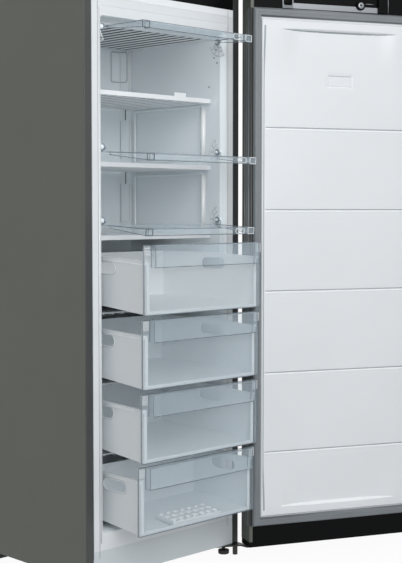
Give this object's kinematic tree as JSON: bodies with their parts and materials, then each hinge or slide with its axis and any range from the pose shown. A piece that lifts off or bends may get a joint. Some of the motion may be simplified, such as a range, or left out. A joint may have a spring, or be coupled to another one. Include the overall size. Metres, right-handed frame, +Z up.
{
  "type": "upright freezer",
  "caption": "Tall upright freezer with a hinged door, pull-out drawers with clear fronts, and open compartments with clear hinged flaps.",
  "frame": {"origin": "centre of the cabinet's flat underside, 35 mm above the floor", "axes": "+Z up, +X to the right as seen from the front, +Y into the cabinet towards its back"},
  "size_m": [1.1291, 0.8768, 1.7536],
  "materials": {
    "olive_steel": "satin grey-green paint",
    "white_steel": "satin pale grey paint",
    "galvanised": "galvanised sheet",
    "white_plastic": "white moulded plastic",
    "clear_plastic": "clear moulded plastic",
    "black_plastic": "black moulded plastic",
    "grey_rubber": "soft grey seal",
    "black_rubber": "black moulded foot",
    "foam": "rigid insulation foam",
    "dark_paint": "black paint",
    "copper": "copper",
    "steel": "zinc-plated steel",
    "display_glass": "black touch glass"
  },
  "bodies": {
    "cabinet": {"side_panel_left": "olive_steel", "side_panel_right": "olive_steel", "lid": "olive_steel", "back_panel": "galvanised", "base_pan": "galvanised", "cabinet_insulation": "foam", "inner_liner": "white_plastic", "frame_top_rail": "white_plastic", "plinth_panel": "white_steel", "control_panel": "black_plastic", "control_display": "display_glass", "ceiling_evaporator": "white_plastic", "hinge_bracket_top": "steel", "hinge_bracket_bottom": "steel", "hinge_cover": "black_plastic", "hinge_screw": "steel", "rear_foot_left": "black_rubber", "rear_foot_right": "black_rubber", "machine_bay_panel": "galvanised", "compressor_mount": "galvanised", "compressor": "dark_paint", "filter_dryer": "copper", "power_inlet": "black_plastic", "condenser": "dark_paint", "shelf_upper": "white_plastic", "shelf_trim_upper": "white_plastic", "shelf_middle": "white_plastic", "shelf_trim_middle": "white_plastic", "shelf_lower": "white_plastic", "shelf_trim_lower": "white_plastic", "drawer_shelf_top": "white_plastic", "drawer_shelf_upper": "white_plastic", "drawer_shelf_lower": "white_plastic"},
    "door": {"door_skin": "olive_steel", "door_insulation": "foam", "door_liner": "white_plastic", "door_gasket": "grey_rubber", "door_cap_top": "black_plastic", "door_cap_bottom": "black_plastic", "door_edge_grip": "black_plastic", "door_top_strip": "steel", "door_strip_end": "grey_rubber", "door_strip_screw": "black_plastic", "door_top_bracket": "black_plastic"},
    "drawer_top": {"drawer_tub_top": "white_plastic", "drawer_front_top": "clear_plastic"},
    "drawer_upper": {"drawer_tub_upper": "white_plastic", "drawer_front_upper": "clear_plastic"},
    "drawer_lower": {"drawer_tub_lower": "white_plastic", "drawer_front_lower": "clear_plastic"},
    "drawer_bottom": {"drawer_tub_bottom": "white_plastic", "drawer_front_bottom": "clear_plastic", "ice_tray": "white_plastic"},
    "flap_top": {"flap_top": "clear_plastic"},
    "flap_middle": {"flap_middle": "clear_plastic"},
    "flap_lower": {"flap_lower": "clear_plastic"},
    "foot_left": {"front_foot_left": "black_rubber"},
    "foot_right": {"front_foot_right": "black_rubber"}
  },
  "joints": [
    {"name": "door_hinge", "type": "hinge", "parent": "cabinet", "child": "door", "pos_m": [0.2885, -0.3089, 0], "axis": [0, 0, 1], "range_deg": [-155.26, 4.7]},
    {"name": "drawer_top_slide", "type": "slide", "parent": "cabinet", "child": "drawer_top", "axis": [0, -1, 0], "range_m": [-0.179, 0.006]},
    {"name": "drawer_upper_slide", "type": "slide", "parent": "cabinet", "child": "drawer_upper", "axis": [0, -1, 0], "range_m": [-0.1725, 0.006]},
    {"name": "drawer_lower_slide", "type": "slide", "parent": "cabinet", "child": "drawer_lower", "axis": [0, -1, 0], "range_m": [-0.168, 0.006]},
    {"name": "drawer_bottom_slide", "type": "slide", "parent": "cabinet", "child": "drawer_bottom", "axis": [0, -1, 0], "range_m": [-0.155, 0.006]},
    {"name": "flap_top_hinge", "type": "hinge", "parent": "cabinet", "child": "flap_top", "pos_m": [0, -0.245, 1.508], "axis": [-1, 0, 0], "range_deg": [-90, 3]},
    {"name": "flap_middle_hinge", "type": "hinge", "parent": "cabinet", "child": "flap_middle", "pos_m": [0, -0.245, 1.185], "axis": [1, 0, 0], "range_deg": [-93, 3]},
    {"name": "flap_lower_hinge", "type": "hinge", "parent": "cabinet", "child": "flap_lower", "pos_m": [0, -0.245, 0.985], "axis": [1, 0, 0], "range_deg": [-93, 3]},
    {"name": "foot_left_turn", "type": "hinge", "parent": "cabinet", "child": "foot_left", "pos_m": [-0.265, -0.23, -0.02], "axis": [0, 0, 1], "continuous": true},
    {"name": "foot_right_turn", "type": "hinge", "parent": "cabinet", "child": "foot_right", "pos_m": [0.265, -0.23, -0.02], "axis": [0, 0, 1], "continuous": true}
  ],
  "couplings": [
    {"joint": "drawer_top_slide", "follows": "door_hinge", "m_per_rad": 0.06605},
    {"joint": "drawer_upper_slide", "follows": "door_hinge", "m_per_rad": 0.06365},
    {"joint": "drawer_lower_slide", "follows": "door_hinge", "m_per_rad": 0.06199},
    {"joint": "drawer_bottom_slide", "follows": "door_hinge", "m_per_rad": 0.05719},
    {"joint": "flap_top_hinge", "follows": "door_hinge", "ratio": 0.5796},
    {"joint": "flap_middle_hinge", "follows": "door_hinge", "ratio": 0.5989},
    {"joint": "flap_lower_hinge", "follows": "door_hinge", "ratio": 0.5989}
  ]
}
